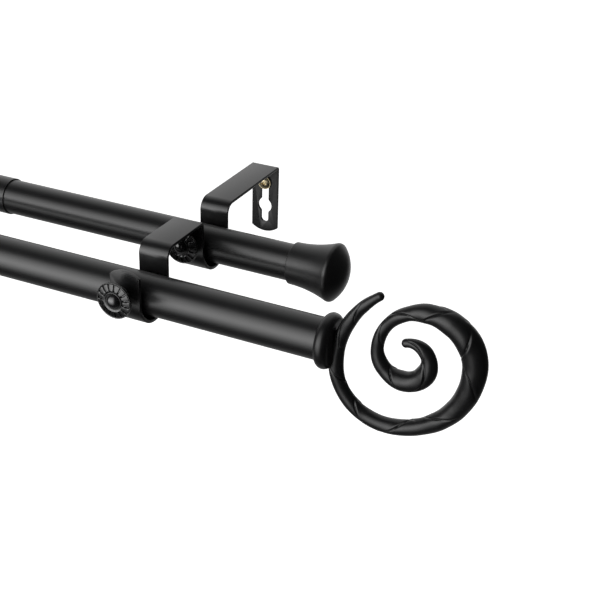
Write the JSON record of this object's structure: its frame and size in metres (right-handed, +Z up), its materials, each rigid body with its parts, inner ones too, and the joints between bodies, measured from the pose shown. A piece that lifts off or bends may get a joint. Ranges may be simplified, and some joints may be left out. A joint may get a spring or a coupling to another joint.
{
  "type": "double curtain pole",
  "caption": "Double curtain pole: telescopic tubes on folded strap brackets, scroll finials on the front tube, flared caps on the back one, fluted thumbscrews.",
  "frame": {"origin": "on the wall, midway between the two wall screws and at their height", "axes": "+X along the poles towards the end with the wider front tube, +Y into the wall, +Z up"},
  "size_m": [0.9952, 0.2151, 0.0876],
  "materials": {
    "tube_paint": "satin black powder coat",
    "strap_paint": "satin black powder coat",
    "finial_paint": "satin black over a cast surface",
    "cap_paint": "satin black",
    "knob_paint": "satin black die casting",
    "black_steel": "blackened thread",
    "joint_steel": "zinc-plated thread",
    "yellow_zinc": "yellow-passivated zinc",
    "plug_nylon": "natural nylon"
  },
  "bodies": {
    "wall_set": {"bracket_right": "strap_paint", "bracket_left": "strap_paint", "wall_screw_right": "yellow_zinc", "wall_screw_left": "yellow_zinc", "front_outer_tube": "tube_paint", "tube_plug_right": "plug_nylon", "joint_stud_right": "joint_steel", "finial_right": "finial_paint", "back_inner_tube": "tube_paint", "end_cap_right": "cap_paint"},
    "front_pole_left": {"front_inner_tube": "tube_paint", "tube_plug_left": "plug_nylon", "joint_stud_left": "joint_steel", "finial_left": "finial_paint"},
    "back_pole_left": {"back_outer_tube": "tube_paint", "end_cap_left": "cap_paint"},
    "stud_front_right": {"clamp_stud_front_right": "black_steel"},
    "knob_front_right": {"clamp_knob_front_right": "knob_paint"},
    "stud_front_left": {"clamp_stud_front_left": "black_steel"},
    "knob_front_left": {"clamp_knob_front_left": "knob_paint"},
    "stud_back_right": {"clamp_stud_back_right": "black_steel"},
    "knob_back_right": {"clamp_knob_back_right": "knob_paint"},
    "stud_back_left": {"clamp_stud_back_left": "black_steel"},
    "knob_back_left": {"clamp_knob_back_left": "knob_paint"}
  },
  "joints": [
    {"name": "front_pole_slide", "type": "slide", "parent": "wall_set", "child": "front_pole_left", "axis": [-1, 0, 0], "range_m": [-0.095, 0.42]},
    {"name": "back_pole_slide", "type": "slide", "parent": "wall_set", "child": "back_pole_left", "axis": [-1, 0, 0], "range_m": [-0.04, 0.39]},
    {"name": "clamp_travel_front_right", "type": "slide", "parent": "wall_set", "child": "stud_front_right", "axis": [0, -1, 0], "range_m": [0, 0.004]},
    {"name": "clamp_turn_front_right", "type": "hinge", "parent": "stud_front_right", "child": "knob_front_right", "pos_m": [0.282, -0.187, -0.0045], "axis": [0, -1, 0], "range_deg": [0, 1800]},
    {"name": "clamp_travel_front_left", "type": "slide", "parent": "wall_set", "child": "stud_front_left", "axis": [0, -1, 0], "range_m": [0, 0.004]},
    {"name": "clamp_turn_front_left", "type": "hinge", "parent": "stud_front_left", "child": "knob_front_left", "pos_m": [-0.282, -0.187, -0.0045], "axis": [0, -1, 0], "range_deg": [0, 1800]},
    {"name": "clamp_travel_back_right", "type": "slide", "parent": "wall_set", "child": "stud_back_right", "axis": [0, -1, 0], "range_m": [0, 0.004]},
    {"name": "clamp_turn_back_right", "type": "hinge", "parent": "stud_back_right", "child": "knob_back_right", "pos_m": [0.282, -0.112, -0.0016], "axis": [0, -1, 0], "range_deg": [0, 1800]},
    {"name": "clamp_travel_back_left", "type": "slide", "parent": "wall_set", "child": "stud_back_left", "axis": [0, -1, 0], "range_m": [0, 0.004]},
    {"name": "clamp_turn_back_left", "type": "hinge", "parent": "stud_back_left", "child": "knob_back_left", "pos_m": [-0.282, -0.112, -0.0016], "axis": [0, -1, 0], "range_deg": [0, 1800]}
  ],
  "couplings": [
    {"joint": "clamp_turn_front_right", "follows": "clamp_travel_front_right", "rad_per_m": 7854},
    {"joint": "clamp_turn_front_left", "follows": "clamp_travel_front_left", "rad_per_m": 7854},
    {"joint": "clamp_turn_back_right", "follows": "clamp_travel_back_right", "rad_per_m": 7854},
    {"joint": "clamp_turn_back_left", "follows": "clamp_travel_back_left", "rad_per_m": 7854}
  ]
}
